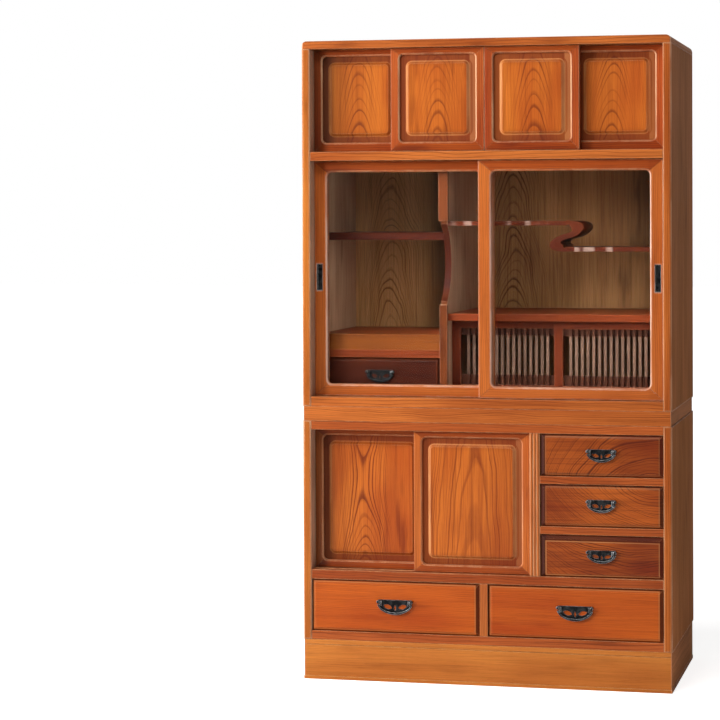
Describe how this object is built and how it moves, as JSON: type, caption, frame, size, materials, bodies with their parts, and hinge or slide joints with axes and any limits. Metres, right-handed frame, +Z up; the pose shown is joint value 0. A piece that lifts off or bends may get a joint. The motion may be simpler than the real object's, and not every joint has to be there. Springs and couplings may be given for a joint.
{
  "type": "mizuya kitchen cabinet",
  "caption": "Tall two-piece Japanese kitchen chest with sliding panel and glass doors, a display with staggered shelf, a latticed cupboard and drawers with bail pulls.",
  "frame": {"origin": "middle of the case's footprint on the floor", "axes": "+X to the right seen from the front, +Y to the back, +Z up"},
  "size_m": [1.05, 0.4875, 1.8],
  "materials": {
    "case_wood": "satin",
    "side_wood": "satin",
    "back_wood": "satin",
    "frame_wood": "gloss",
    "panel_wood": "gloss",
    "drawer_wood": "gloss",
    "interior_wood": "satin",
    "lattice_wood": "satin",
    "black_iron": "satin",
    "glass": "gloss"
  },
  "bodies": {
    "case": {"belt_board": "case_wood", "curved_partition": "interior_wood", "drawer_partition": "interior_wood", "fluted_pilaster": "case_wood", "inner_deck": "interior_wood", "lattice_deck": "interior_wood", "left_shelf": "interior_wood", "lower_back_panel": "back_wood", "lower_bottom_board": "case_wood", "lower_deck": "case_wood", "lower_left_side": "side_wood", "lower_rails": "case_wood", "lower_right_side": "side_wood", "plinth": "case_wood", "staggered_shelf": "interior_wood", "upper_back_panel": "back_wood", "upper_left_side": "side_wood", "upper_middle_board": "case_wood", "upper_right_side": "side_wood", "upper_sill_board": "case_wood", "upper_top_board": "case_wood", "wide_drawer_divider": "case_wood"},
    "small_door_1": {"small_door_1_frame": "frame_wood", "small_door_1_panel": "panel_wood"},
    "small_door_2": {"small_door_2_frame": "frame_wood", "small_door_2_panel": "panel_wood"},
    "small_door_3": {"small_door_3_frame": "frame_wood", "small_door_3_panel": "panel_wood"},
    "small_door_4": {"small_door_4_frame": "frame_wood", "small_door_4_panel": "panel_wood"},
    "glass_door_left": {"glass_door_left_frame": "frame_wood", "glass_door_left_pane": "glass", "glass_door_left_pull": "black_iron"},
    "glass_door_right": {"glass_door_right_frame": "frame_wood", "glass_door_right_pane": "glass", "glass_door_right_pull": "black_iron"},
    "lattice_door_left": {"lattice_door_left": "lattice_wood"},
    "lattice_door_right": {"lattice_door_right": "lattice_wood"},
    "lower_door_left": {"lower_door_left_frame": "frame_wood", "lower_door_left_panel": "panel_wood"},
    "lower_door_right": {"lower_door_right_frame": "frame_wood", "lower_door_right_panel": "panel_wood"},
    "small_drawer_1": {"small_drawer_1": "drawer_wood", "small_drawer_1_plate": "black_iron"},
    "small_drawer_1_bail": {"small_drawer_1_bail": "black_iron"},
    "small_drawer_2": {"small_drawer_2": "drawer_wood", "small_drawer_2_plate": "black_iron"},
    "small_drawer_2_bail": {"small_drawer_2_bail": "black_iron"},
    "small_drawer_3": {"small_drawer_3": "drawer_wood", "small_drawer_3_plate": "black_iron"},
    "small_drawer_3_bail": {"small_drawer_3_bail": "black_iron"},
    "wide_drawer_left": {"wide_drawer_left": "drawer_wood", "wide_drawer_left_plate": "black_iron"},
    "wide_drawer_left_bail": {"wide_drawer_left_bail": "black_iron"},
    "wide_drawer_right": {"wide_drawer_right": "drawer_wood", "wide_drawer_right_plate": "black_iron"},
    "wide_drawer_right_bail": {"wide_drawer_right_bail": "black_iron"},
    "inner_drawer": {"inner_drawer": "drawer_wood", "inner_drawer_plate": "black_iron"},
    "inner_drawer_bail": {"inner_drawer_bail": "black_iron"}
  },
  "joints": [
    {"name": "small_door_1_slide", "type": "slide", "parent": "case", "child": "small_door_1", "axis": [1, 0, 0], "range_m": [0, 0.232]},
    {"name": "small_door_2_slide", "type": "slide", "parent": "case", "child": "small_door_2", "axis": [1, 0, 0], "range_m": [-0.232, 0]},
    {"name": "small_door_3_slide", "type": "slide", "parent": "case", "child": "small_door_3", "axis": [1, 0, 0], "range_m": [0, 0.232]},
    {"name": "small_door_4_slide", "type": "slide", "parent": "case", "child": "small_door_4", "axis": [1, 0, 0], "range_m": [-0.232, 0]},
    {"name": "glass_door_left_slide", "type": "slide", "parent": "case", "child": "glass_door_left", "axis": [1, 0, 0], "range_m": [0, 0.4815]},
    {"name": "glass_door_right_slide", "type": "slide", "parent": "case", "child": "glass_door_right", "axis": [1, 0, 0], "range_m": [-0.4815, 0]},
    {"name": "lattice_door_left_slide", "type": "slide", "parent": "case", "child": "lattice_door_left", "axis": [1, 0, 0], "range_m": [0, 0.2985]},
    {"name": "lattice_door_right_slide", "type": "slide", "parent": "case", "child": "lattice_door_right", "axis": [1, 0, 0], "range_m": [-0.2985, 0]},
    {"name": "lower_door_left_slide", "type": "slide", "parent": "case", "child": "lower_door_left", "axis": [1, 0, 0], "range_m": [0, 0.29475]},
    {"name": "lower_door_right_slide", "type": "slide", "parent": "case", "child": "lower_door_right", "axis": [1, 0, 0], "range_m": [-0.29475, 0]},
    {"name": "small_drawer_1_slide", "type": "slide", "parent": "case", "child": "small_drawer_1", "axis": [0, -1, 0], "range_m": [0, 0.3]},
    {"name": "small_drawer_1_bail_hinge", "type": "hinge", "parent": "small_drawer_1", "child": "small_drawer_1_bail", "pos_m": [0.32875, -0.2429, 0.6589], "axis": [-1, 0, 0], "range_deg": [0, 80]},
    {"name": "small_drawer_2_slide", "type": "slide", "parent": "case", "child": "small_drawer_2", "axis": [0, -1, 0], "range_m": [0, 0.3]},
    {"name": "small_drawer_2_bail_hinge", "type": "hinge", "parent": "small_drawer_2", "child": "small_drawer_2_bail", "pos_m": [0.32875, -0.2429, 0.5199], "axis": [-1, 0, 0], "range_deg": [0, 80]},
    {"name": "small_drawer_3_slide", "type": "slide", "parent": "case", "child": "small_drawer_3", "axis": [0, -1, 0], "range_m": [0, 0.3]},
    {"name": "small_drawer_3_bail_hinge", "type": "hinge", "parent": "small_drawer_3", "child": "small_drawer_3_bail", "pos_m": [0.32875, -0.2429, 0.3809], "axis": [-1, 0, 0], "range_deg": [0, 80]},
    {"name": "wide_drawer_left_slide", "type": "slide", "parent": "case", "child": "wide_drawer_left", "axis": [0, -1, 0], "range_m": [0, 0.3]},
    {"name": "wide_drawer_left_bail_hinge", "type": "hinge", "parent": "wide_drawer_left", "child": "wide_drawer_left_bail", "pos_m": [-0.25788, -0.2429, 0.2254], "axis": [-1, 0, 0], "range_deg": [0, 80]},
    {"name": "wide_drawer_right_slide", "type": "slide", "parent": "case", "child": "wide_drawer_right", "axis": [0, -1, 0], "range_m": [0, 0.3]},
    {"name": "wide_drawer_right_bail_hinge", "type": "hinge", "parent": "wide_drawer_right", "child": "wide_drawer_right_bail", "pos_m": [0.25438, -0.2429, 0.2254], "axis": [-1, 0, 0], "range_deg": [0, 80]},
    {"name": "inner_drawer_slide", "type": "slide", "parent": "case", "child": "inner_drawer", "axis": [0, -1, 0], "range_m": [0, 0.012]},
    {"name": "inner_drawer_bail_hinge", "type": "hinge", "parent": "inner_drawer", "child": "inner_drawer_bail", "pos_m": [-0.322, -0.1574, 0.8639], "axis": [-1, 0, 0], "range_deg": [0, 25]}
  ]
}
